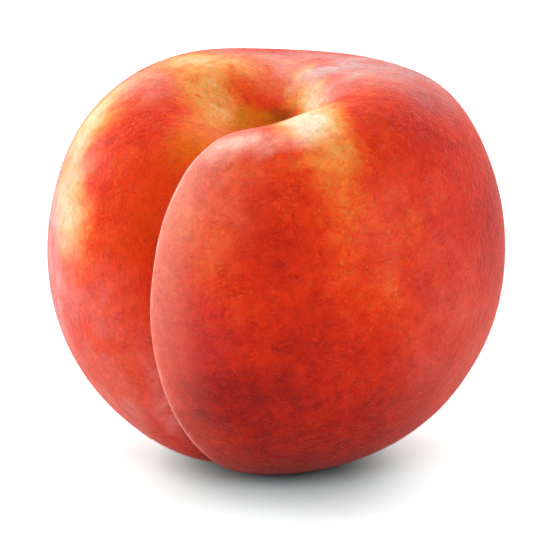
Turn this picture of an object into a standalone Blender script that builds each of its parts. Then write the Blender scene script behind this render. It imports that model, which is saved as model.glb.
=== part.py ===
"""A peach, picked, resting on a small flat spot under its weight.

The fruit grew as one body, so it is one solid. An outline is turned about the core line, which runs
from the stem end to the blossom end. The stem basin is sunk into the crown, the shoulders dip where
the seam and the shallow valley behind cross them, and the seam is pressed in between the two cheeks.
Sizes are in millimetres and angles in degrees. The body is shaped upright about its own core line,
with its front at -Y, and is then leaned into the pose that it rests in.
"""

import math

import bmesh
import bpy
import numpy as np
from mathutils import Matrix

MM = 0.001

# The turned outline, from the stem end down to the blossom end. Each row holds the radius, the height,
# and at that height the seam's depth, the reach of its gentle side, and its drift off a straight line.
OUTLINE = (
    (0.0, 31.2, 0.0, 8.0, 0.0),
    (3.5, 31.4, 0.0, 8.0, 0.0),
    (8.0, 31.8, 1.0, 8.5, 0.0),
    (14.0, 31.8, 3.4, 9.0, 0.0),
    (23.4, 28.8, 4.7, 9.0, -0.9),
    (29.6, 23.9, 4.8, 8.5, -1.4),
    (33.7, 16.3, 4.3, 7.0, -1.4),
    (36.2, 6.0, 3.6, 5.5, -1.2),
    (36.0, -5.1, 2.9, 4.0, -0.4),
    (32.5, -15.6, 2.2, 3.2, 0.5),
    (25.4, -24.9, 1.6, 2.8, 1.1),
    (14.8, -31.0, 1.1, 2.5, 0.9),
    (0.0, -34.6, 0.0, 2.5, 0.0),
)
GIRTH = 36.0

# What shapes the crown fades in between these two heights.
CROWN_START = 0.0
CROWN_FULL = 30.0

# The stem basin is a funnel in the crown, wider to the front left, with its pit off to the right.
# Its mouth is shifted most between the radii in the middle. The blossom end has a dimple.
BASIN_DEPTH = 13.5
BASIN_RADIUS = 8.3
BASIN_POINT = 1.4
MOUTH_SHIFT = 2.2
MOUTH_AZIMUTH = -60.0
MOUTH_RADII = (0.0, 8.0, 14.0, 30.0)
PIT_SHIFT = 2.0
PIT_REACH = 9.0
DIMPLE_DEPTH = 1.0
DIMPLE_RADIUS = 5.0
DIMPLE_BELOW = -5.0
DIMPLE_FULL = -25.0

# The cheeks are a little wider one way than the other, and swell a little to the back left.
OVAL = 0.7
OVAL_AZIMUTH = 113.0
SWELL = 1.8
SWELL_AZIMUTH = 215.0

# The shoulders stand higher at the front right, and dip along the line of the seam.
SHOULDER_RISE = 1.3
SHOULDER_RISE_AZIMUTH = 25.0
SHOULDER_DIP = 2.2
# Valleys that run down into the basin: depth, azimuth, half angle, radius of the deepest place, reach.
VALLEYS = (
    (2.4, 174.0, 24.0, 14.0, 9.0),
    (1.2, 62.0, 24.0, 11.0, 7.0),
)

# The seam has one steep side, where the near cheek rolls over it, and one gentle side.
SEAM_AZIMUTH = -36.2
SEAM_STEEP_REACH = 2.0
SEAM_USUAL_REACH = 8.0
SEAM_STEEP_POWER = 1.6
SEAM_GENTLE_POWER = 1.15
ROLL_HEIGHT = 0.7
ROLL_REACH = 6.0
ROLL_FULL_DEPTH = 4.0
# Cosines of the azimuth from the seam, where the seam begins and where it is whole.
SEAM_SIDE = (-0.05, 0.35)

# The pose at rest, and how much the weight flattens the underside.
LEAN_FORWARD = 12.5
LEAN_SIDE = -5.2
FLATTENED = 0.8

MERIDIANS = 84
RINGS = 54
SEAM_CROWDING = 0.75
WELD = 0.05
SHARP_EDGE = 60.0

SKIN_COLOUR = (0.72, 0.11, 0.045, 1.0)
SKIN_ROUGHNESS = 0.75


def ease(value, start, end):
    """A smooth step from 0 at start to 1 at end."""
    share = np.clip((value - start) / (end - start), 0.0, 1.0)
    return share * share * (3.0 - 2.0 * share)


def bell(value):
    return np.exp(-value * value)


def outline_at(share):
    """The outline's five columns, and their rates, at shares from 0 to 1 of its rows (Catmull-Rom)."""
    rows = np.array(OUTLINE)
    before, after = rows[1].copy(), rows[-2].copy()
    before[0], after[0] = -before[0], -after[0]
    rows = np.vstack([before, rows, after])
    place = share * (len(OUTLINE) - 1)
    row = np.clip(np.floor(place).astype(int), 0, len(OUTLINE) - 2)
    step = (place - row)[:, None]
    a, b, c, d = rows[row], rows[row + 1], rows[row + 2], rows[row + 3]
    square = 2.0 * a - 5.0 * b + 4.0 * c - d
    cube = 3.0 * b - a - 3.0 * c + d
    value = b + 0.5 * step * (c - a + step * (square + step * cube))
    rate = 0.5 * (c - a + step * (2.0 * square + 3.0 * step * cube))
    return value, rate


def shape(share, from_seam):
    """Points of the upright fruit: share runs from stem to blossom end, from_seam is an azimuth in radians."""
    columns, rates = outline_at(share)
    radius, height, depth, gentle_reach, drift = columns.T
    radius = np.maximum(radius, 0.0)
    speed = np.hypot(rates[:, 0], rates[:, 1])
    normal_out, normal_up = -rates[:, 1] / speed, rates[:, 0] / speed
    azimuth = from_seam + math.radians(SEAM_AZIMUTH)
    crown = ease(height, CROWN_START, CROWN_FULL)
    outward = np.clip(radius / GIRTH, 0.0, 1.0)

    height = height - BASIN_DEPTH * np.exp(-((radius / BASIN_RADIUS) ** BASIN_POINT)) * crown
    below = 1.0 - ease(height, DIMPLE_FULL, DIMPLE_BELOW)
    height = height + DIMPLE_DEPTH * bell(radius / DIMPLE_RADIUS) * below
    rise = SHOULDER_RISE * np.cos(azimuth - math.radians(SHOULDER_RISE_AZIMUTH))
    height = height + (rise - SHOULDER_DIP * np.cos(2.0 * from_seam)) * crown * outward
    for valley_depth, middle, half_angle, deepest, reach in VALLEYS:
        off = np.remainder(azimuth - math.radians(middle) + math.pi, 2.0 * math.pi) - math.pi
        across = bell(off / math.radians(half_angle))
        height = height - valley_depth * across * bell((radius - deepest) / reach) * crown

    oval = OVAL * np.cos(2.0 * (azimuth - math.radians(OVAL_AZIMUTH)))
    swell = SWELL * np.cos(azimuth - math.radians(SWELL_AZIMUTH))
    mouth = ease(radius, *MOUTH_RADII[:2]) * (1.0 - ease(radius, *MOUTH_RADII[2:])) * crown
    shift = MOUTH_SHIFT * np.cos(azimuth - math.radians(MOUTH_AZIMUTH))
    pit = PIT_SHIFT * bell(radius / PIT_REACH) * crown
    radius = radius * (1.0 + (oval + swell) * outward / GIRTH) + shift * mouth

    sideways = radius * np.sin(from_seam) - drift
    seam_side = ease(np.cos(from_seam), *SEAM_SIDE)
    steep_reach = SEAM_STEEP_REACH * np.sqrt(gentle_reach / SEAM_USUAL_REACH)
    steep = np.exp(-((np.abs(sideways) / steep_reach) ** SEAM_STEEP_POWER))
    gentle = np.exp(-((np.abs(sideways) / gentle_reach) ** SEAM_GENTLE_POWER))
    cut = depth * np.where(sideways > 0.0, steep, gentle)
    along = np.maximum(sideways, 0.0) / ROLL_REACH
    roll = ROLL_HEIGHT * along * np.exp(0.5 - 0.5 * along * along) * np.clip(depth / ROLL_FULL_DEPTH, 0.0, 1.0)
    sunk = (cut - roll) * seam_side
    radius = radius - sunk * normal_out
    height = height - sunk * normal_up
    return np.stack([radius * np.sin(azimuth) + pit, -radius * np.cos(azimuth), height], axis=1)


def shaped_sphere():
    """A sphere whose poles are the stem and blossom ends, drawn out to the fruit's shape in millimetres."""
    mesh = bmesh.new()
    bmesh.ops.create_uvsphere(mesh, u_segments=MERIDIANS, v_segments=RINGS, radius=1.0)
    sphere = np.array([vert.co for vert in mesh.verts], dtype=float)
    share = np.arccos(np.clip(sphere[:, 2], -1.0, 1.0)) / math.pi
    turn = np.arctan2(sphere[:, 0], -sphere[:, 1])
    # The meridians crowd together at the seam, where the surface turns most sharply.
    from_seam = turn - SEAM_CROWDING * np.sin(turn)
    for vert, point in zip(mesh.verts, shape(share, from_seam)):
        vert.co = point
    return mesh


def laid_down(mesh):
    """Leans the fruit, flattens what it rests on, and stands the middle of its box on the origin."""
    pose = Matrix.Rotation(math.radians(LEAN_FORWARD), 3, "X") @ Matrix.Rotation(math.radians(LEAN_SIDE), 3, "Y")
    bmesh.ops.transform(mesh, matrix=pose.to_4x4(), verts=mesh.verts)
    floor = min(vert.co.z for vert in mesh.verts) + FLATTENED
    whole = mesh.verts[:] + mesh.edges[:] + mesh.faces[:]
    bmesh.ops.bisect_plane(mesh, geom=whole, plane_co=(0, 0, floor), plane_no=(0, 0, -1), clear_outer=True)
    bmesh.ops.remove_doubles(mesh, verts=mesh.verts, dist=WELD)
    rim = [edge for edge in mesh.edges if edge.is_boundary]
    bmesh.ops.holes_fill(mesh, edges=rim, sides=0)
    points = np.array([vert.co for vert in mesh.verts])
    low, high = points.min(axis=0), points.max(axis=0)
    middle = (low + high) / 2.0
    bmesh.ops.translate(mesh, verts=mesh.verts, vec=(-middle[0], -middle[1], -low[2]))
    bmesh.ops.scale(mesh, verts=mesh.verts, vec=(MM, MM, MM))


def skin_material():
    material = bpy.data.materials.new("downy_skin")
    material.use_nodes = True
    shader = material.node_tree.nodes["Principled BSDF"]
    shader.inputs["Base Color"].default_value = SKIN_COLOUR
    shader.inputs["Roughness"].default_value = SKIN_ROUGHNESS
    shader.inputs["Metallic"].default_value = 0.0
    material.diffuse_color = SKIN_COLOUR
    return material


def build():
    for leftover in list(bpy.data.objects):
        bpy.data.objects.remove(leftover, do_unlink=True)
    fruit = shaped_sphere()
    laid_down(fruit)
    bmesh.ops.recalc_face_normals(fruit, faces=fruit.faces)
    data = bpy.data.meshes.new("peach")
    fruit.to_mesh(data)
    fruit.free()
    data.shade_smooth()
    data.set_sharp_from_angle(angle=math.radians(SHARP_EDGE))
    data.materials.append(skin_material())
    collection = bpy.data.collections.new("Peach")
    bpy.context.scene.collection.children.link(collection)
    collection.objects.link(bpy.data.objects.new("peach", data))


build()
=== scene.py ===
import math

import bpy
import numpy as np
from mathutils import Matrix, Vector


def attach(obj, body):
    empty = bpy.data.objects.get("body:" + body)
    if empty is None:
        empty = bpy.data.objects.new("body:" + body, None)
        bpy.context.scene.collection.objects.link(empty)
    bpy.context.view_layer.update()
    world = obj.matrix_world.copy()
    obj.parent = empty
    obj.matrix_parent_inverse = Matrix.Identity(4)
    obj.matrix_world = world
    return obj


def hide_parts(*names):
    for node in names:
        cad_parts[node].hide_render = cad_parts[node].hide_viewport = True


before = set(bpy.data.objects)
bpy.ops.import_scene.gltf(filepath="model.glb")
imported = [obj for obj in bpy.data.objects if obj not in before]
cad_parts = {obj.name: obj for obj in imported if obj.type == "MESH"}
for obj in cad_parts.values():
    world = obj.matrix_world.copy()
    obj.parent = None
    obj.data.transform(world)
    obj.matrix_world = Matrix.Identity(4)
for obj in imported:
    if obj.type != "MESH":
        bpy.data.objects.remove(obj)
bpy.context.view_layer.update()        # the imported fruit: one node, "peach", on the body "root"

mm = 0.001               # lengths below are in millimetres unless a note says otherwise


# The fruit's form, upright about its own core line, with its front at -Y. These are the solid's own values.
fruit = {
    # radius, height, seam depth, reach of the seam's gentle side, drift of the seam off a straight line
    "outline": (
        (0.0, 31.2, 0.0, 8.0, 0.0),
        (3.5, 31.4, 0.0, 8.0, 0.0),
        (8.0, 31.8, 1.0, 8.5, 0.0),
        (14.0, 31.8, 3.4, 9.0, 0.0),
        (23.4, 28.8, 4.7, 9.0, -0.9),
        (29.6, 23.9, 4.8, 8.5, -1.4),
        (33.7, 16.3, 4.3, 7.0, -1.4),
        (36.2, 6.0, 3.6, 5.5, -1.2),
        (36.0, -5.1, 2.9, 4.0, -0.4),
        (32.5, -15.6, 2.2, 3.2, 0.5),
        (25.4, -24.9, 1.6, 2.8, 1.1),
        (14.8, -31.0, 1.1, 2.5, 0.9),
        (0.0, -34.6, 0.0, 2.5, 0.0),
    ),
    "girth": 36.0,
    "crown": (0.0, 30.0),            # heights between which the crown's shapes fade in
    "basinDepth": 13.5,
    "basinRadius": 8.3,
    "basinPoint": 1.4,
    "mouthShift": 2.2,
    "mouthAzimuth": -60.0,
    "mouthRadii": (0.0, 8.0, 14.0, 30.0),
    "pitShift": 2.0,
    "pitReach": 9.0,
    "dimpleDepth": 1.0,
    "dimpleRadius": 5.0,
    "dimpleHeights": (-25.0, -5.0),
    "oval": 0.7,
    "ovalAzimuth": 113.0,
    "swell": 1.8,
    "swellAzimuth": 215.0,
    "shoulderRise": 1.3,
    "shoulderAzimuth": 25.0,
    "shoulderDip": 2.2,
    # depth, azimuth, half angle, radius of the deepest place, reach
    "valleys": ((2.4, 174.0, 24.0, 14.0, 9.0), (1.2, 62.0, 24.0, 11.0, 7.0)),
    "seamAzimuth": -36.2,
    "seamSteepReach": 2.0,
    "seamUsualReach": 8.0,
    "seamSteepPower": 1.6,
    "seamGentlePower": 1.15,
    "seamSide": (-0.05, 0.35),
    "rollHeight": 0.7,
    "rollReach": 6.0,
    "rollFullDepth": 4.0,
    "leanForward": 12.5,
    "leanSide": -5.2,
    "flattened": 0.8,
}

# The fine skin that stands for the solid.
skinMesh = {
    "meridians": 96,
    "rings": 62,
    "cuts": 3,
    "seamCrowding": 0.7,
    "softEdge": 0.25,                # rounding where the underside goes flat
    "swellHeight": 0.22,             # slow rise and fall of the skin
    "swellSize": 16.0,
    "poreHeight": 0.05,              # fine unevenness
    "poreSize": 2.2,
}


def selectOnly(piece):
    bpy.ops.object.select_all(action="DESELECT")
    piece.select_set(True)
    bpy.context.view_layer.objects.active = piece


def ease(value, start, end):
    share = np.clip((value - start) / (end - start), 0.0, 1.0)
    return share * share * (3.0 - 2.0 * share)


def bell(value):
    return np.exp(-value * value)


def outlineAt(share):
    # the outline's columns and their rates at shares from 0 to 1 of its rows, by Catmull-Rom
    rows = np.array(fruit["outline"])
    last = len(rows) - 1
    before, after = rows[1].copy(), rows[-2].copy()
    before[0], after[0] = -before[0], -after[0]
    rows = np.vstack([before, rows, after])
    place = share * last
    row = np.clip(np.floor(place).astype(int), 0, last - 1)
    step = (place - row)[:, None]
    a, b, c, d = rows[row], rows[row + 1], rows[row + 2], rows[row + 3]
    square = 2.0 * a - 5.0 * b + 4.0 * c - d
    cube = 3.0 * b - a - 3.0 * c + d
    value = b + 0.5 * step * (c - a + step * (square + step * cube))
    rate = 0.5 * (c - a + step * (2.0 * square + 3.0 * step * cube))
    return value, rate


def fruitSurface(share, fromSeam):
    # points of the upright fruit, and how far each lies across the seam
    columns, rates = outlineAt(share)
    radius, height, depth, gentleReach, drift = columns.T
    radius = np.maximum(radius, 0.0)
    speed = np.hypot(rates[:, 0], rates[:, 1])
    normalOut, normalUp = -rates[:, 1] / speed, rates[:, 0] / speed
    azimuth = fromSeam + math.radians(fruit["seamAzimuth"])
    crown = ease(height, *fruit["crown"])
    outward = np.clip(radius / fruit["girth"], 0.0, 1.0)

    funnel = np.exp(-((radius / fruit["basinRadius"]) ** fruit["basinPoint"]))
    height = height - fruit["basinDepth"] * funnel * crown
    below = 1.0 - ease(height, *fruit["dimpleHeights"])
    height = height + fruit["dimpleDepth"] * bell(radius / fruit["dimpleRadius"]) * below
    rise = fruit["shoulderRise"] * np.cos(azimuth - math.radians(fruit["shoulderAzimuth"]))
    height = height + (rise - fruit["shoulderDip"] * np.cos(2.0 * fromSeam)) * crown * outward
    for valleyDepth, middle, halfAngle, deepest, reach in fruit["valleys"]:
        off = np.remainder(azimuth - math.radians(middle) + math.pi, 2.0 * math.pi) - math.pi
        across = bell(off / math.radians(halfAngle))
        height = height - valleyDepth * across * bell((radius - deepest) / reach) * crown

    oval = fruit["oval"] * np.cos(2.0 * (azimuth - math.radians(fruit["ovalAzimuth"])))
    swell = fruit["swell"] * np.cos(azimuth - math.radians(fruit["swellAzimuth"]))
    mouthRadii = fruit["mouthRadii"]
    mouth = ease(radius, *mouthRadii[:2]) * (1.0 - ease(radius, *mouthRadii[2:])) * crown
    shift = fruit["mouthShift"] * np.cos(azimuth - math.radians(fruit["mouthAzimuth"]))
    pit = fruit["pitShift"] * bell(radius / fruit["pitReach"]) * crown
    radius = radius * (1.0 + (oval + swell) * outward / fruit["girth"]) + shift * mouth

    sideways = radius * np.sin(fromSeam) - drift
    seamSide = ease(np.cos(fromSeam), *fruit["seamSide"])
    steepReach = fruit["seamSteepReach"] * np.sqrt(gentleReach / fruit["seamUsualReach"])
    steep = np.exp(-((np.abs(sideways) / steepReach) ** fruit["seamSteepPower"]))
    gentle = np.exp(-((np.abs(sideways) / gentleReach) ** fruit["seamGentlePower"]))
    cut = depth * np.where(sideways > 0.0, steep, gentle)
    along = np.maximum(sideways, 0.0) / fruit["rollReach"]
    roll = fruit["rollHeight"] * along * np.exp(0.5 - 0.5 * along * along)
    roll = roll * np.clip(depth / fruit["rollFullDepth"], 0.0, 1.0)
    sunk = (cut - roll) * seamSide
    radius = radius - sunk * normalOut
    height = height - sunk * normalUp
    points = np.stack([radius * np.sin(azimuth) + pit, -radius * np.cos(azimuth), height], axis=1)
    return points, np.where(np.cos(fromSeam) > 0.0, sideways, np.sign(sideways) * fruit["girth"])


leanForward = Matrix.Rotation(math.radians(fruit["leanForward"]), 3, "X")
leanSide = Matrix.Rotation(math.radians(fruit["leanSide"]), 3, "Y")
pose = leanForward @ leanSide


def pointsOf(mesh):
    points = np.empty(len(mesh.vertices) * 3)
    mesh.vertices.foreach_get("co", points)
    return points.reshape(-1, 3)


def restingPlace(points):
    # the move that stands the leaned fruit's box on the origin, as the solid's is
    floor = points[:, 2].min() + fruit["flattened"]
    low, high = points.min(axis=0), points.max(axis=0)
    return -np.array([(low[0] + high[0]) / 2.0, (low[1] + high[1]) / 2.0, floor])


def addClouds(piece, name, size, height):
    # real relief, a few tenths of a millimetre at most
    clouds = bpy.data.textures.new(name, "CLOUDS")
    clouds.noise_scale = size * mm
    clouds.noise_depth = 2
    relief = piece.modifiers.new(name, "DISPLACE")
    relief.texture = clouds
    relief.texture_coords = "LOCAL"
    relief.mid_level = 0.5
    relief.strength = height * mm
    selectOnly(piece)
    bpy.ops.object.modifier_apply(modifier=relief.name)


def gridNumbers(share, turn):
    # a number for each point by its place on the sphere, because subdivide numbers them anew in each run
    steps = skinMesh["cuts"] + 1
    along, around = skinMesh["rings"] * steps, skinMesh["meridians"] * steps
    ring = np.rint(share * along).astype(int)
    meridian = np.rint(turn / (2.0 * math.pi) * around).astype(int) % around
    atPole = (ring == 0) | (ring == along)
    return ring * around + np.where(atPole, 0, meridian)


def growSkin():
    bpy.ops.object.select_all(action="DESELECT")
    meridians, rings = skinMesh["meridians"], skinMesh["rings"]
    bpy.ops.mesh.primitive_uv_sphere_add(segments=meridians, ring_count=rings, radius=1.0)
    skin = bpy.context.active_object
    skin.name = skin.data.name = "peachSkin"
    bpy.ops.object.mode_set(mode="EDIT")
    bpy.ops.mesh.select_all(action="SELECT")
    bpy.ops.mesh.subdivide(number_cuts=skinMesh["cuts"])
    bpy.ops.object.mode_set(mode="OBJECT")
    sphere = pointsOf(skin.data)
    sphere /= np.linalg.norm(sphere, axis=1, keepdims=True)
    share = np.arccos(np.clip(sphere[:, 2], -1.0, 1.0)) / math.pi
    turn = np.arctan2(sphere[:, 0], -sphere[:, 1])
    fromSeam = turn - skinMesh["seamCrowding"] * np.sin(turn)      # meridians crowd where the seam is
    upright, acrossSeam = fruitSurface(share, fromSeam)
    leaned = upright @ np.array(pose).T
    move = restingPlace(leaned)
    points = leaned + move
    soft = skinMesh["softEdge"]
    points[:, 2] = 0.5 * (points[:, 2] + np.sqrt(points[:, 2] ** 2 + soft * soft))
    skin.data.vertices.foreach_set("co", (points * mm).ravel())
    skin.data.update()

    # where each point grew, for patterns that follow the fruit: round the core, and along it
    growth = np.stack([np.sin(fromSeam), np.cos(fromSeam), share], axis=1)
    attribute = skin.data.attributes.new("growth", "FLOAT_VECTOR", "POINT")
    attribute.data.foreach_set("vector", growth.astype(np.float32).ravel())
    attribute = skin.data.attributes.new("acrossSeam", "FLOAT", "POINT")
    attribute.data.foreach_set("value", acrossSeam.astype(np.float32))

    addClouds(skin, "skinSwell", skinMesh["swellSize"], skinMesh["swellHeight"])
    addClouds(skin, "skinPores", skinMesh["poreSize"], skinMesh["poreHeight"])
    points = pointsOf(skin.data)
    points[:, 2] = np.maximum(points[:, 2], 0.0)                   # nothing goes below what it rests on
    skin.data.vertices.foreach_set("co", points.ravel())
    skin.data.update()
    selectOnly(skin)
    bpy.ops.object.shade_smooth()
    return skin, move, gridNumbers(share, turn)


# A Wire is one output in a sheet of nodes, and arithmetic on it adds Math nodes.
class Wire:
    def __init__(self, sheet, socket):
        self.sheet = sheet
        self.socket = socket

    def math(self, operation, first, second):
        return self.sheet.add("ShaderNodeMath", {"operation": operation}, {0: first, 1: second})

    def __add__(self, other):
        return self.math("ADD", self, other)

    def __radd__(self, other):
        return self.math("ADD", other, self)

    def __sub__(self, other):
        return self.math("SUBTRACT", self, other)

    def __rsub__(self, other):
        return self.math("SUBTRACT", other, self)

    def __mul__(self, other):
        return self.math("MULTIPLY", self, other)

    def __rmul__(self, other):
        return self.math("MULTIPLY", other, self)


def swing(noise):
    # noise about 0, from -1 to 1
    return (noise - 0.5) * 2.0


def between(share, least, most):
    return share * (most - least) + least


# A Sheet is a material and its nodes.
class Sheet:
    def __init__(self, name):
        self.material = bpy.data.materials.new(name)
        self.material.use_nodes = True
        self.nodes = self.material.node_tree.nodes
        self.links = self.material.node_tree.links
        self.shader = self.nodes["Principled BSDF"]

    def add(self, kind, settings, values, output=0):
        node = self.nodes.new(kind)
        for name, setting in settings.items():
            if name == "stops":
                self.setStops(node.color_ramp, setting)
            else:
                setattr(node, name, setting)
        for name, value in values.items():
            self.feed(node.inputs[name], value)
        return Wire(self, node.outputs[output])

    def feed(self, socket, value):
        if isinstance(value, Wire):
            self.links.new(value.socket, socket)
        elif socket.type == "RGBA":
            socket.default_value = (*value, 1.0)
        else:
            socket.default_value = value

    def setStops(self, ramp, stops):
        while len(ramp.elements) < len(stops):
            ramp.elements.new(1.0)
        for element, (place, colour) in zip(ramp.elements, stops):
            element.position = place
            element.color = (*colour, 1.0)

    def finish(self, values):
        for name, value in values.items():
            self.feed(self.shader.inputs[name], value)

    def objectPlace(self):
        return self.add("ShaderNodeTexCoord", {}, {}, "Object")

    def vector(self, operation, values, output="Vector"):
        return self.add("ShaderNodeVectorMath", {"operation": operation}, values, output)

    def part(self, vector, axis):
        return self.add("ShaderNodeSeparateXYZ", {}, {0: vector}, axis)

    def noise(self, where, size, detail, distortion, output="Fac"):
        # size is the width of one patch of noise, in millimetres
        values = {"Vector": where, "Scale": 1.0 / (size * mm), "Detail": detail, "Distortion": distortion}
        return self.add("ShaderNodeTexNoise", {}, values, output)

    def ramp(self, share, stops):
        return self.add("ShaderNodeValToRGB", {"stops": stops}, {"Fac": share}, "Color")

    def fade(self, value, start, end):
        # 0 at start, 1 at end, eased
        values = {"Value": value, "From Min": start, "From Max": end}
        return self.add("ShaderNodeMapRange", {"interpolation_type": "SMOOTHSTEP"}, values)

    def band(self, value, start, peak, end):
        # 1 at the peak, 0 at the start and at the end
        return self.fade(value, start, peak) * self.fade(value, end, peak)

    def mix(self, factor, first, second, blend="MIX"):
        # a colour Mix node has its factor at input 0, its colours at 6 and 7, and its result at output 2
        settings = {"data_type": "RGBA", "blend_type": blend}
        return self.add("ShaderNodeMix", settings, {0: factor, 6: first, 7: second}, 2)

    def bump(self, height, relief, strength=1.0):
        values = {"Strength": strength, "Distance": relief * mm, "Height": height}
        return self.add("ShaderNodeBump", {}, values, "Normal")

    def patch(self, where, middle, halfWidths, along, core):
        # 1 in the core of a soft, turned ellipsoid, and 0 at its edge
        place = self.add("ShaderNodeMapping", {"vector_type": "TEXTURE"}, {
            "Vector": where,
            "Location": [value * mm for value in middle],
            "Rotation": Vector(along).to_track_quat("Z", "Y").to_euler(),
            "Scale": [value * mm for value in halfWidths],
        })
        return self.fade(self.vector("LENGTH", {0: place}, "Value"), 1.0, core)


upright = (0, 0, 1)

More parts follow.
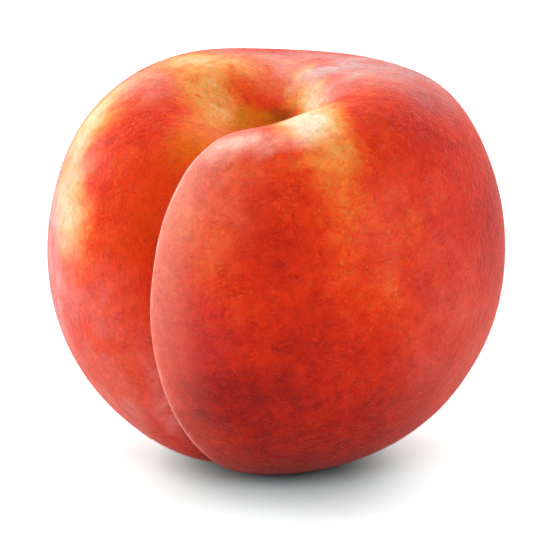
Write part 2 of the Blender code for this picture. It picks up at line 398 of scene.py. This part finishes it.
# The skin's colours. A noise is given by its size in millimetres, its detail and its distortion.
skinLook = {
    # from the pale ground to the deepest blush, as linear colours
    "ramp": (
        (0.00, (0.63, 0.54, 0.36)),
        (0.13, (0.65, 0.40, 0.18)),
        (0.26, (0.67, 0.26, 0.065)),
        (0.38, (0.66, 0.145, 0.024)),
        (0.50, (0.62, 0.070, 0.011)),
        (0.60, (0.57, 0.038, 0.007)),
        (0.72, (0.49, 0.021, 0.004)),
        (0.86, (0.36, 0.013, 0.005)),
        (1.00, (0.22, 0.009, 0.007)),
    ),
    "usualBlush": 0.65,
    # places where the blush stands at another level, the broad ones first: middle, half widths,
    # direction of the third half width, share of the widths that the core takes, and level
    "spots": (
        ((5, -26, 4), (33, 35, 35), upright, 0.3, 0.90),                 # low and underneath: deeper blush, partly painted shade
        ((8, 34, 42), (30, 18, 26), upright, 0.2, 0.40),                 # behind
        ((24, -15, 57), (15, 16, 10), upright, 0.2, 0.76),               # right shoulder
        ((34, -9, 42), (12, 16, 22), upright, 0.2, 0.82),                # right side
        ((-12, -32, 48), (11, 10, 20), upright, 0.1, 0.53),              # near cheek, by the seam
        ((-11, -33, 28), (10, 12, 10), upright, 0.1, 0.76),
        ((-8, -32, 17), (13, 12, 12), upright, 0.2, 0.94),               # its foot
        ((3, -35, 28), (12, 10, 10), upright, 0.1, 0.84),
        ((-2.5, -33, 20), (13, 9, 7), upright, 0.1, 0.97),
        ((0, -35, 42), (11, 9, 18), upright, 0.1, 0.76),                 # its middle
        ((18, -31, 43), (14, 12, 16), upright, 0.1, 0.57),               # its right side
        ((0, -30, 55), (11, 8, 7), upright, 0.0, 0.56),
        ((14, -6, 63), (12, 12, 7), upright, 0.2, 0.52),                 # over the crown
        ((-2, 7, 62), (10, 10, 9), upright, 0.3, 0.46),                  # basin, behind
        ((-12, -12, 57), (8, 11, 9), upright, 0.1, 0.40),                # head of the seam
        ((10, -32, 50), (7, 8, 14), upright, 0.0, 0.46),                 # tail of the saddle
        ((8.5, -28.5, 57), (7.5, 8, 8), upright, 0.0, 0.30),
        ((5.0, -22, 60.5), (8.3, 10, 6.5), upright, 0.15, -0.06),        # saddle
        ((4.8, -8, 60.5), (5.4, 17, 7), upright, 0.1, 0.08),             # basin, right wall
        ((4.5, 3.5, 62.5), (5, 6, 6), upright, 0.1, 0.25),
        ((-10, -3, 60), (8.5, 8.5, 14), (5, -6, -7), 0.1, 0.22),         # basin, left wall
        ((-13, 6, 65), (9, 9, 14), (-1, 0, -0.1), 0.1, 0.18),            # crown, at the left
        ((-30, -3, 57), (10, 10, 19), (9, 14, 12), 0.0, 0.04),           # pale left side
        ((-33.6, -13, 46), (9.5, 9.5, 18), (3, -12, -11.5), 0.0, 0.09),
    ),
    "warpNoise": (6.0, 2.0, 0.0),
    "warp": 2.5,                     # how far the spots' edges wander
    # noise, change of the blush, height
    "patterns": (
        ((8.0, 3.0, 0.0), 0.12, 0.0),            # clouds
        ((2.4, 2.0, 0.8), 0.12, 0.2),            # mottling
        ((0.9, 1.0, 1.2), 0.07, 0.40),           # flecks
        ((0.45, 2.0, 1.0), 0.02, 0.15),          # wool
    ),
    # short pale curls and short dark creases: noise, width, noise of the patches that they lie in,
    # where those patches begin and are full, and change of the blush
    "curls": ((1.5, 1.0, 1.6), 0.0088, (1.2, 1.0, 0.0), (0.42, 0.60), -0.09),
    "creases": ((2.4, 1.0, 2.2), 0.022, (3.12, 1.0, 0.0), (0.45, 0.60), 0.09),
    "curlHeight": 0.3,
    "curledBlush": (0.25, 0.62),     # levels of blush between which both appear
    "specks": ((1.3, 1.0, 0.5), (0.66, 0.76), 0.08),     # noise, where they begin and are full, change
    "streaks": ((14.0, 14.0, 2.5), 3.0, 0.05),   # how close round the fruit and along it, detail, change
    "relief": 0.26,                  # height of the patterns on the skin
    # the pit, darker and olive-brown towards its bottom, partly its own colour and partly painted shade, and
    # the dry tip, by their share of the way from the stem to the blossom end
    "pitColourAndShade": (0.40, 0.12, 0.005),
    "pitShare": (0.13, 0.05),
    "tipColour": (0.11, 0.055, 0.025),
    "tipShare": (0.987, 0.994),
    # in the seam's groove the colour is darker and a purer red, and orange at the seam's head: painted shade
    # and painted light bounced between its walls
    "seamSide": (0.0, 0.25),         # cosines of the angle from the seam where its colours begin and are full
    "groove": 0.86,
    "grooveReach": (-10.0, -2.5),    # across the seam, on its gentle side and on its steep side
    "grooveEdge": (1.5, 0.0),
    "grooveHeights": (34.0, 46.0),
    "grooveBlush": (0.15, 0.35),
    "grooveShadeColour": (0.50, 0.032, 0.001),
    "grooveHeadShade": (0.54, 0.105, 0.002),
    "headShare": (0.34, 0.24),
    # where the colour is veiled: a pale bloom of down and wax over the crown, round the sides and on the lip,
    # made lighter where the down catches the light, so partly painted sheen;
    # and painted shade on the basin floor and in the pit; as for the spots, with a share and a colour at the
    # end
    "bloomSheenAndShade": (
        ((10, 1, 65), (20, 18, 6.5), upright, 0.0, 0.56, (0.50, 0.41, 0.40)),
        ((22, -1, 62.5), (16, 20, 10), upright, 0.0, 0.35, (0.33, 0.31, 0.31)),
        ((-1, 11, 65.5), (16, 8, 5), upright, 0.0, 0.35, (0.56, 0.44, 0.41)),
        ((-36, -9, 38), (10, 18, 30), upright, 0.0, 0.42, (0.66, 0.46, 0.46)),
        ((-27, -17, 13), (14, 15, 17), upright, 0.0, 0.19, (0.66, 0.44, 0.40)),
        ((-27, -21, 30), (11, 14, 13), upright, 0.0, 0.14, (0.72, 0.38, 0.36)),
        ((-22, 2, 62), (11, 13, 8), upright, 0.0, 0.28, (0.66, 0.50, 0.40)),
        ((28, -18, 24), (18, 22, 26), upright, 0.0, 0.07, (0.74, 0.42, 0.42)),
        ((24, -20, 44), (13, 16, 24), upright, 0.0, 0.03, (0.60, 0.24, 0.44)),
        ((-33, -9, 50), (10, 16, 17), upright, 0.0, 0.16, (0.66, 0.42, 0.44)),
        ((8, -8, 62), (6, 7, 4), upright, 0.0, 0.30, (0.62, 0.44, 0.44)),
        ((-17.3, -24.5, 17), (5, 5, 19), (6, 7.5, -18), 0.0, 0.36, (0.82, 0.33, 0.31)),
        ((-12, -33, 31), (9, 9, 15), upright, 0.0, 0.035, (0.66, 0.24, 0.42)),
        ((17, -31, 47), (8, 8, 15), upright, 0.0, 0.03, (0.70, 0.26, 0.40)),
        ((-10, -30, 50), (12, 12, 16), upright, 0.0, 0.10, (0.80, 0.42, 0.32)),
        ((-6.5, -26.5, 58.5), (9, 5, 5), upright, 0.0, 0.60, (0.78, 0.50, 0.39)),
        ((2.4, -26.6, 59.6), (9, 4.5, 4), upright, 0.0, 0.5, (0.80, 0.50, 0.41)),
        ((-3, -2.5, 56.5), (7.5, 4.5, 4), upright, 0.1, 0.7, (0.48, 0.17, 0.003)),         # basin floor: painted shade
        ((1.0, -1.2, 57.2), (3.5, 3.0, 3.2), upright, 0.1, 0.85, (0.11, 0.06, 0.003)),     # pit: painted shade
    ),
    "bloomSheenAndShadeClouds": (5.0, 3.0, 0.5),   # the noise of their own clouds
    "bloomSheenAndShadeEdges": (0.32, 0.68),
    "bloomSheenAndShadeShares": (0.55, 1.35),      # their thinnest and thickest
    # on the near cheek where it rolls over the seam: a soft haze of pale down, stronger higher up where it
    # catches the light, so partly painted sheen
    "lipSheenColour": (0.76, 0.44, 0.36),
    "lipBloomAndSheen": 0.34,
    "lipReach": (0.3, 2.2, 12.5),    # where it starts, is strongest and ends, across the seam
    "lipHeights": (-5.0, 52.0),      # where it is at its weakest and at its strongest
    # and a fine pale line along the very edge: low down the seam's own pale line, up high a painted highlight
    # on the lip's rim
    "line": 0.50,
    "lineColour": (0.84, 0.38, 0.29),
    "lineTopHighlight": (0.86, 0.56, 0.47),
    "lineHeights": (20.0, 45.0),     # below and above these it has one or the other colour
    "lineReach": (0.5, 1.7, 3.1),
    "lineShift": (0.55, 0.05, 4.6),  # above this share of the way down, the edge lies further from the seam
    "lineWander": ((1.7, 2.0, 0.0), 0.7),        # noise and reach
    "lineEnds": ((0.18, 0.32), (0.86, 0.80)),
    "lineGaps": ((0.9, 1.0, 0.0), (0.48, 0.62), 0.40),   # noise, where they begin and are full, emptiness
    # noise, and how much lighter or darker the skin is there
    "shades": (((0.9, 2.0, 0.6), 0.15), ((1.9, 2.0, 0.6), 0.16)),
    "roughness": 0.62,
    "roughnessSpread": 0.05,         # rougher where the patterns stand high
    "specular": 0.03,
    "sheen": 0.15,
    "sheenRoughness": 0.3,
    "sheenTint": (1.0, 0.80, 0.76),
}


def wander(sheet, where):
    # places moved about a little, so that what is laid out on them has uneven edges
    shift = sheet.noise(where, *skinLook["warpNoise"], "Color")
    shift = sheet.vector("SUBTRACT", {0: shift, 1: (0.5, 0.5, 0.5)})
    shift = sheet.vector("SCALE", {0: shift, "Scale": 2.0 * skinLook["warp"] * mm})
    return sheet.vector("ADD", {0: where, 1: shift})


def blushField(sheet, wandering):
    # how deep the blush is at each place, without its fine patterns
    blush = skinLook["usualBlush"]
    for *place, level in skinLook["spots"]:
        blush = blush + (level - blush) * sheet.patch(wandering, *place)
    return blush


def underBloomSheenAndShade(sheet, where, wandering, colour):
    # the same colour under its bloom of down and wax, with painted sheen where the down catches the light and
    # painted shade in the pit
    clouds = sheet.fade(sheet.noise(where, *skinLook["bloomSheenAndShadeClouds"]), *skinLook["bloomSheenAndShadeEdges"])
    clouds = between(clouds, *skinLook["bloomSheenAndShadeShares"])
    for *place, share, overlayColour in skinLook["bloomSheenAndShade"]:
        colour = sheet.mix(sheet.patch(wandering, *place) * clouds * share, colour, overlayColour)
    return colour


def skinPlaces(sheet):
    # what the skin's colours are laid out by
    where = sheet.objectPlace()
    growth = sheet.add("ShaderNodeAttribute", {"attribute_name": "growth"}, {}, "Vector")
    return {
        "where": where,
        "wandering": wander(sheet, where),
        "upward": sheet.part(where, 2),
        "growth": growth,
        "bySeam": sheet.fade(sheet.part(growth, 1), *skinLook["seamSide"]),
        "along": sheet.part(growth, 2),
        "across": sheet.add("ShaderNodeAttribute", {"attribute_name": "acrossSeam"}, {}, "Fac"),
    }


def byHeight(sheet, at, heights):
    low, high = heights
    return sheet.fade(at["upward"], low * mm, high * mm)


def threads(sheet, at, noise, width, patchNoise, patchEdges):
    # thin lines where a noise passes its middle, in patches
    offMiddle = swing(sheet.noise(at["where"], *noise))
    patches = sheet.fade(sheet.noise(at["where"], *patchNoise), *patchEdges)
    return sheet.fade(offMiddle * offMiddle, width, 0.0) * patches


def finePatterns(sheet, at, blush):
    # the blush with its fine patterns, and the height that they give the skin
    height = 0.0
    for noise, change, lift in skinLook["patterns"]:
        pattern = swing(sheet.noise(at["where"], *noise))
        blush = blush + pattern * change
        height = pattern * lift + height
    onBlush = sheet.fade(blush, *skinLook["curledBlush"])
    *form, change = skinLook["curls"]
    curls = threads(sheet, at, *form)
    height = height + curls * skinLook["curlHeight"]
    blush = blush + curls * onBlush * change
    *form, change = skinLook["creases"]
    blush = blush + threads(sheet, at, *form) * onBlush * change
    noise, edges, change = skinLook["specks"]
    blush = blush + sheet.fade(sheet.noise(at["where"], *noise), *edges) * change
    closeness, detail, change = skinLook["streaks"]
    stretch = {"Vector": at["growth"], "Scale": closeness}
    stretched = sheet.add("ShaderNodeMapping", {"vector_type": "POINT"}, stretch)
    streaks = sheet.add("ShaderNodeTexNoise", {}, {"Vector": stretched, "Scale": 1.0, "Detail": detail})
    return blush + swing(streaks) * change, height


def shadeGroove(sheet, at, blush, colour):
    # painted shade and painted bounced red light, darker and purer in the seam's groove
    inGroove = sheet.fade(at["across"], *skinLook["grooveReach"])
    inGroove = inGroove * sheet.fade(at["across"], *skinLook["grooveEdge"])
    inGroove = inGroove * byHeight(sheet, at, skinLook["grooveHeights"])
    inGroove = inGroove * sheet.fade(blush, *skinLook["grooveBlush"]) * at["bySeam"]
    atHead = sheet.fade(at["along"], *skinLook["headShare"])
    grooveShadeColour = sheet.mix(atHead, skinLook["grooveShadeColour"], skinLook["grooveHeadShade"])
    return sheet.mix(inGroove * skinLook["groove"], colour, grooveShadeColour)


def bloomAndSheenOnLip(sheet, at, colour):
    # pale down on the lip, lighter up high: partly painted sheen
    haze = sheet.band(at["across"], *skinLook["lipReach"]) * byHeight(sheet, at, skinLook["lipHeights"])
    return sheet.mix(haze * at["bySeam"] * skinLook["lipBloomAndSheen"], colour, skinLook["lipSheenColour"])


def lineLip(sheet, at, colour):
    bend, softness, rate = skinLook["lineShift"]
    shift = (bend - at["along"]) * rate * sheet.fade(at["along"], bend, bend - softness)
    noise, reach = skinLook["lineWander"]
    place = at["across"] - shift + swing(sheet.noise(at["where"], *noise)) * reach
    line = sheet.band(place, *skinLook["lineReach"]) * at["bySeam"]
    for end in skinLook["lineEnds"]:
        line = line * sheet.fade(at["along"], *end)
    noise, edges, emptiness = skinLook["lineGaps"]
    line = line * (1.0 - sheet.fade(sheet.noise(at["where"], *noise), *edges) * emptiness)
    # up high the line is a painted highlight on the lip's rim
    atTop = byHeight(sheet, at, skinLook["lineHeights"])
    lineColour = sheet.mix(atTop, skinLook["lineColour"], skinLook["lineTopHighlight"])
    return sheet.mix(line * skinLook["line"], colour, lineColour)


def paintSkin(skin):
    sheet = Sheet("downySkin")
    at = skinPlaces(sheet)
    blush, height = finePatterns(sheet, at, blushField(sheet, at["wandering"]))
    colour = sheet.ramp(blush, skinLook["ramp"])
    # darker towards the bottom of the pit: partly painted shade
    colour = sheet.mix(sheet.fade(at["along"], *skinLook["pitShare"]), colour, skinLook["pitColourAndShade"])
    colour = sheet.mix(sheet.fade(at["along"], *skinLook["tipShare"]), colour, skinLook["tipColour"])
    # painted shade in the seam's groove
    colour = shadeGroove(sheet, at, blush, colour)
    # pale bloom with painted sheen, and painted shade on the basin floor and in the pit
    colour = underBloomSheenAndShade(sheet, at["where"], at["wandering"], colour)
    colour = lineLip(sheet, at, bloomAndSheenOnLip(sheet, at, colour))
    shade = 1.0
    for noise, strength in skinLook["shades"]:
        shade = swing(sheet.noise(at["where"], *noise)) * strength + shade
    sheet.finish({
        "Base Color": sheet.mix(1.0, colour, shade, "MULTIPLY"),
        "Roughness": skinLook["roughness"] + height * skinLook["roughnessSpread"],
        "Normal": sheet.bump(height, skinLook["relief"]),
        "Sheen Weight": skinLook["sheen"],
        "Sheen Roughness": skinLook["sheenRoughness"],
        "Sheen Tint": skinLook["sheenTint"],
        "Specular IOR Level": skinLook["specular"],
    })
    skin.data.materials.clear()
    skin.data.materials.append(sheet.material)


# The down: short, tapered hairs, each a closed spike, in a few pieces.
down = {
    "pieces": 4,
    "hairs": 48000,                  # in each piece
    "length": (0.16, 0.45),
    "thickness": 0.016,              # at the root
    "rooted": 0.04,                  # how deep a root sits in the skin
    "lean": 0.33,                    # how far a hair leans off upright, at random
    "comb": 0.25,                    # and how far towards the blossom end
    "leastRise": 0.35,               # and how far it still rises from the skin at the least
    "seed": 7,
    "bare": 0.09,                    # no hairs nearer the stem than this share of the way to the blossom end
    "mapStep": 0.0009,               # half the width of a face on the hairs' own map
    "mapMargin": 0.01,
    "colour": (0.85, 0.62, 0.55),
    "paler": (0.03, 0.21),           # share of that colour over the blush below
    "tufts": ((1.2, 1.0, 0.0), (0.35, 0.65)),    # noise of the paler tufts, where they begin and are full
    "deepest": ((0.55, 0.95), 0.9),  # between these levels of blush that share falls by this much
    "roughness": 0.7,
    "specular": 0.05,
}


def oneHair():
    # a spike with three sides: its corners at a length and a thickness of 1, and its faces
    bpy.ops.object.select_all(action="DESELECT")
    bpy.ops.mesh.primitive_cone_add(vertices=3, radius1=0.5, radius2=0.0, depth=1.0, location=(0.0, 0.0, 0.5))
    hair = bpy.context.active_object
    bpy.ops.object.transform_apply(location=True)
    corners = pointsOf(hair.data)
    faces = np.array([list(face.vertices) for face in hair.data.polygons])
    bpy.data.objects.remove(hair)
    return corners, faces


def skinTriangles(skin, numbers):
    # corners, their normals and their growth, for each triangle that has hairs, always in one order
    mesh = skin.data
    mesh.calc_loop_triangles()
    corners = np.empty(len(mesh.loop_triangles) * 3, dtype=np.int32)
    mesh.loop_triangles.foreach_get("vertices", corners)
    corners = corners.reshape(-1, 3)
    lowest = numbers[corners].argmin(axis=1)
    corners = np.take_along_axis(corners, (lowest[:, None] + np.arange(3)) % 3, axis=1)
    corners = corners[np.lexsort(numbers[corners].T[::-1])]
    normals = np.empty(len(mesh.vertices) * 3)
    mesh.vertices.foreach_get("normal", normals)
    growth = np.empty(len(mesh.vertices) * 3, dtype=np.float32)
    mesh.attributes["growth"].data.foreach_get("vector", growth)
    growth = growth.reshape(-1, 3)[corners]
    hairy = growth[:, 0, 2] > down["bare"]
    corners = corners[hairy]
    return pointsOf(mesh)[corners], normals.reshape(-1, 3)[corners], growth[hairy]


def meshFrom(name, points, faces):
    mesh = bpy.data.meshes.new(name)
    mesh.vertices.add(len(points))
    mesh.vertices.foreach_set("co", points.ravel())
    mesh.loops.add(faces.size)
    mesh.loops.foreach_set("vertex_index", faces.ravel())
    mesh.polygons.add(len(faces))
    mesh.polygons.foreach_set("loop_start", np.arange(0, faces.size, faces.shape[1]))
    mesh.update(calc_edges=True)
    piece = bpy.data.objects.new(name, mesh)
    bpy.context.scene.collection.objects.link(piece)
    return piece


def mapHairs(piece, growth, facesEach):
    # each hair lies on the map where it grows, round the fruit and along it, with all its faces side by side
    turn = np.arctan2(growth[:, 0], growth[:, 1]) / (2.0 * math.pi) + 0.5
    along = 0.5 - 0.5 * np.cos(math.pi * growth[:, 2])
    margin = down["mapMargin"]
    middle = margin + (1.0 - 2.0 * margin) * np.stack([turn, along], axis=1)
    third = 2.0 * math.pi / 3.0 * np.arange(3)
    shape = down["mapStep"] * np.stack([np.cos(third), np.sin(third)], axis=1)
    places = middle[:, None, None, :] + np.broadcast_to(shape, (len(growth), facesEach, 3, 2))
    layer = piece.data.uv_layers.new(name="OFBake")
    layer.uv.foreach_set("vector", places.astype(np.float32).ravel())


def unit(vectors):
    return vectors / np.linalg.norm(vectors, axis=1, keepdims=True)


def growDown(skin, numbers):
    spike, spikeFaces = oneHair()
    corners, normals, growth = skinTriangles(skin, numbers)
    sides = np.cross(corners[:, 1] - corners[:, 0], corners[:, 2] - corners[:, 0])
    area = np.linalg.norm(sides, axis=1)
    core = np.array(pose) @ np.array([0.0, 0.0, -1.0])
    draw = np.random.default_rng(down["seed"])
    count = down["hairs"]
    thick = down["thickness"] * mm
    pieces = []
    for number in range(down["pieces"]):
        chosen = draw.choice(len(area), size=count, p=area / area.sum())
        share = draw.random((count, 2))
        share = np.where(share.sum(axis=1, keepdims=True) > 1.0, 1.0 - share, share)
        share = np.column_stack([1.0 - share.sum(axis=1), share])[:, :, None]
        root = (corners[chosen] * share).sum(axis=1)
        normal = unit((normals[chosen] * share).sum(axis=1))
        upward = normal + down["lean"] * draw.normal(size=(count, 3)) + down["comb"] * core
        rise = (upward * normal).sum(axis=1, keepdims=True)
        upward = unit(upward - np.minimum(rise - down["leastRise"], 0.0) * normal)
        first = unit(np.cross(upward, draw.normal(size=(count, 3))))
        second = np.cross(upward, first)
        length = draw.uniform(*down["length"], size=count)[:, None, None] * mm
        points = root[:, None, :] - normal[:, None, :] * down["rooted"] * mm
        for axis, (direction, size) in enumerate(((first, thick), (second, thick), (upward, length))):
            points = points + direction[:, None, :] * spike[None, :, axis:axis + 1] * size
        points[:, :, 2] = np.maximum(points[:, :, 2], 0.0)
        faces = spikeFaces[None, :, :] + (np.arange(count) * len(spike))[:, None, None]
        piece = meshFrom("down_%d" % (number + 1), points.reshape(-1, 3), faces.reshape(-1, 3))
        mapHairs(piece, growth[chosen, 0], len(spikeFaces))
        pieces.append(piece)
    return pieces


def paintDown(pieces):
    # a hair is a paler form of the blush that it grows from
    sheet = Sheet("paleDown")
    where = sheet.objectPlace()
    wandering = wander(sheet, where)
    blush = blushField(sheet, wandering)
    # the hairs take the same bloom, painted sheen and painted shade
    colour = underBloomSheenAndShade(sheet, where, wandering, sheet.ramp(blush, skinLook["ramp"]))
    noise, edges = down["tufts"]
    paler = between(sheet.fade(sheet.noise(where, *noise), *edges), *down["paler"])
    levels, fall = down["deepest"]
    paler = paler * (1.0 - sheet.fade(blush, *levels) * fall)
    sheet.finish({
        "Base Color": sheet.mix(paler, colour, down["colour"]),
        "Roughness": down["roughness"],
        "Specular IOR Level": down["specular"],
    })
    for piece in pieces:
        piece.data.materials.append(sheet.material)


# The scar that the stem left: a dry woody cup at the bottom of the basin.
scar = {
    "place": (2.0, 0.0, 19.1),       # upright, on the pit's own line
    "radius": 1.95,
    "sides": 40,
    # share of the radius left by each inset, and how far it then stands up or down
    "steps": ((0.84, 0.28), (0.80, 0.10), (0.66, -0.42), (0.55, -0.16), (0.50, 0.14)),
    "depth": 1.3,
    "foot": 0.45,                    # share of the rim's width left at that depth
    "smoothing": 3,
    "roughHeight": 0.16,
    "roughSize": 0.5,
    "fibres": (0.35, 4.0, 1.0),      # a noise, and likewise the patches
    "patches": (1.1, 2.0, 0.0),
    "fibreShare": 0.6,               # the patches have the rest
    "paleEdges": (0.36, 0.66),       # where the pale wood begins and is full
    "pale": (0.30, 0.17, 0.075),
    "dark": (0.055, 0.024, 0.012),
    "roughness": (0.95, 0.75),       # of the dark wood and of the pale
    "relief": (0.08, 0.8),           # height and strength
    "specular": 0.15,
}


def carveScar(move):
    bpy.ops.object.select_all(action="DESELECT")
    radius = scar["radius"] * mm
    bpy.ops.mesh.primitive_circle_add(vertices=scar["sides"], radius=radius, fill_type="NGON")
    piece = bpy.context.active_object
    piece.name = piece.data.name = "stemScar"
    bpy.ops.object.mode_set(mode="EDIT")
    bpy.ops.mesh.select_all(action="SELECT")
    for share, lift in scar["steps"]:
        bpy.ops.mesh.inset(thickness=radius * (1.0 - share))
        bpy.ops.transform.translate(value=(0.0, 0.0, lift * mm))
        radius *= share
    bpy.ops.mesh.select_all(action="DESELECT")
    bpy.ops.mesh.select_non_manifold(extend=False)
    bpy.ops.mesh.extrude_region_move(TRANSFORM_OT_translate={"value": (0.0, 0.0, -scar["depth"] * mm)})
    bpy.ops.transform.resize(value=(scar["foot"], scar["foot"], 1.0))
    bpy.ops.mesh.fill()
    bpy.ops.mesh.select_all(action="SELECT")
    bpy.ops.mesh.normals_make_consistent(inside=False)
    bpy.ops.object.mode_set(mode="OBJECT")
    smooth = piece.modifiers.new("smooth", "SUBSURF")
    smooth.levels = smooth.render_levels = scar["smoothing"]
    selectOnly(piece)
    bpy.ops.object.modifier_apply(modifier=smooth.name)
    addClouds(piece, "scarRoughness", scar["roughSize"], scar["roughHeight"])
    lean = pose.to_4x4()
    lean.translation = Vector(pose @ Vector(scar["place"]) + Vector(move)) * mm
    piece.matrix_world = lean
    selectOnly(piece)
    bpy.ops.object.transform_apply(location=True, rotation=True, scale=True)
    bpy.ops.object.shade_smooth()
    return piece


def paintScar(piece):
    sheet = Sheet("dryScar")
    where = sheet.objectPlace()
    fibres = sheet.noise(where, *scar["fibres"])
    patches = sheet.noise(where, *scar["patches"])
    wood = fibres * scar["fibreShare"] + patches * (1.0 - scar["fibreShare"])
    pale = sheet.fade(wood, *scar["paleEdges"])
    sheet.finish({
        "Base Color": sheet.mix(pale, scar["dark"], scar["pale"]),
        "Roughness": between(pale, *scar["roughness"]),
        "Normal": sheet.bump(fibres, *scar["relief"]),
        "Specular IOR Level": scar["specular"],
    })
    piece.data.materials.append(sheet.material)


# The stage. Its lengths are in metres.
studio = {
    "floorSize": 8.0,
    # the floor's colour, less red near the fruit, where the fruit's own red glow falls on it
    "glowWidth": 0.075,
    "floorStops": (
        (0.13, (0.58, 0.97, 0.97)),
        (0.23, (0.70, 0.97, 0.97)),
        (0.31, (0.78, 0.97, 0.97)),
        (0.40, (0.83, 0.97, 0.97)),
        (0.60, (0.90, 0.97, 0.97)),
        (1.00, (0.95, 0.97, 0.97)),
    ),
    "floorRoughness": 0.9,
    "floorSpecular": 0.0,
    "worldStrength": 0.7,
    # name, place, width and depth, radiance
    "lights": (
        ("leftStrip", (-0.75, 0.15, 0.35), (0.3, 0.9), 7.8),
        ("front", (0.0, -0.8, 0.62), (0.5, 0.5), 4.2),
        ("backLeft", (-0.5, 0.7, 0.5), (0.5, 0.5), 6.4),
        ("backRight", (0.5, 0.7, 0.5), (0.5, 0.5), 9.6),
        ("topRight", (0.55, -0.1, 0.75), (0.5, 0.5), 2.0),
    ),
    "lightAim": (0.0, 0.0, 0.035),
}
view = {
    "aim": (-0.00044, -0.00035, 0.03068),
    "elevation": 15.0,
    "distance": 0.65,
    "lens": 263.4,                   # this and the sensor's width are in millimetres
    "sensor": 36.0,
    "nearest": 0.01,
}


def aimAt(piece, target):
    piece.rotation_euler = (Vector(target) - piece.location).to_track_quat("-Z", "Y").to_euler()


def layFloor():
    bpy.ops.object.select_all(action="DESELECT")
    bpy.ops.mesh.primitive_plane_add(size=studio["floorSize"])
    floor = bpy.context.active_object
    floor.name = floor.data.name = "studioFloor"
    sheet = Sheet("paleFloor")
    distance = sheet.vector("LENGTH", {0: sheet.objectPlace()}, "Value")
    sheet.finish({
        "Base Color": sheet.ramp(distance * (1.0 / studio["glowWidth"]), studio["floorStops"]),
        "Roughness": studio["floorRoughness"],
        "Specular IOR Level": studio["floorSpecular"],
    })
    floor.data.materials.append(sheet.material)


def hangLights():
    world = bpy.data.worlds.new("studioWorld")
    world.use_nodes = True
    background = world.node_tree.nodes["Background"]
    background.inputs["Color"].default_value = (1.0, 1.0, 1.0, 1.0)
    background.inputs["Strength"].default_value = studio["worldStrength"]
    bpy.context.scene.world = world
    for name, place, (width, depth), radiance in studio["lights"]:
        lamp = bpy.data.lights.new(name, "AREA")
        lamp.shape = "RECTANGLE"
        lamp.size = width
        lamp.size_y = depth
        lamp.energy = radiance * math.pi * width * depth
        light = bpy.data.objects.new(name, lamp)
        bpy.context.scene.collection.objects.link(light)
        light.location = place
        aimAt(light, studio["lightAim"])


def placeCamera():
    lens = bpy.data.cameras.new("camera")
    lens.lens = view["lens"]
    lens.sensor_width = view["sensor"]
    lens.clip_start = view["nearest"]
    camera = bpy.data.objects.new("camera", lens)
    bpy.context.scene.collection.objects.link(camera)
    rise = math.radians(view["elevation"])
    back = Vector((0.0, -math.cos(rise), math.sin(rise)))
    camera.location = Vector(view["aim"]) + back * view["distance"]
    aimAt(camera, view["aim"])
    bpy.context.scene.camera = camera
    bpy.context.scene.view_settings.view_transform = "Standard"


print("stage: floor, lights and camera")
layFloor()
hangLights()
placeCamera()
print("skin: growing the fine surface")
skin, move, numbers = growSkin()
paintSkin(skin)
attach(skin, "root")
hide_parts("peach")
print("down: growing the hairs")
hairs = growDown(skin, numbers)
paintDown(hairs)
for piece in hairs:
    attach(piece, "root")
print("scar: carving what the stem left")
stemScar = carveScar(move)
paintScar(stemScar)
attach(stemScar, "root")
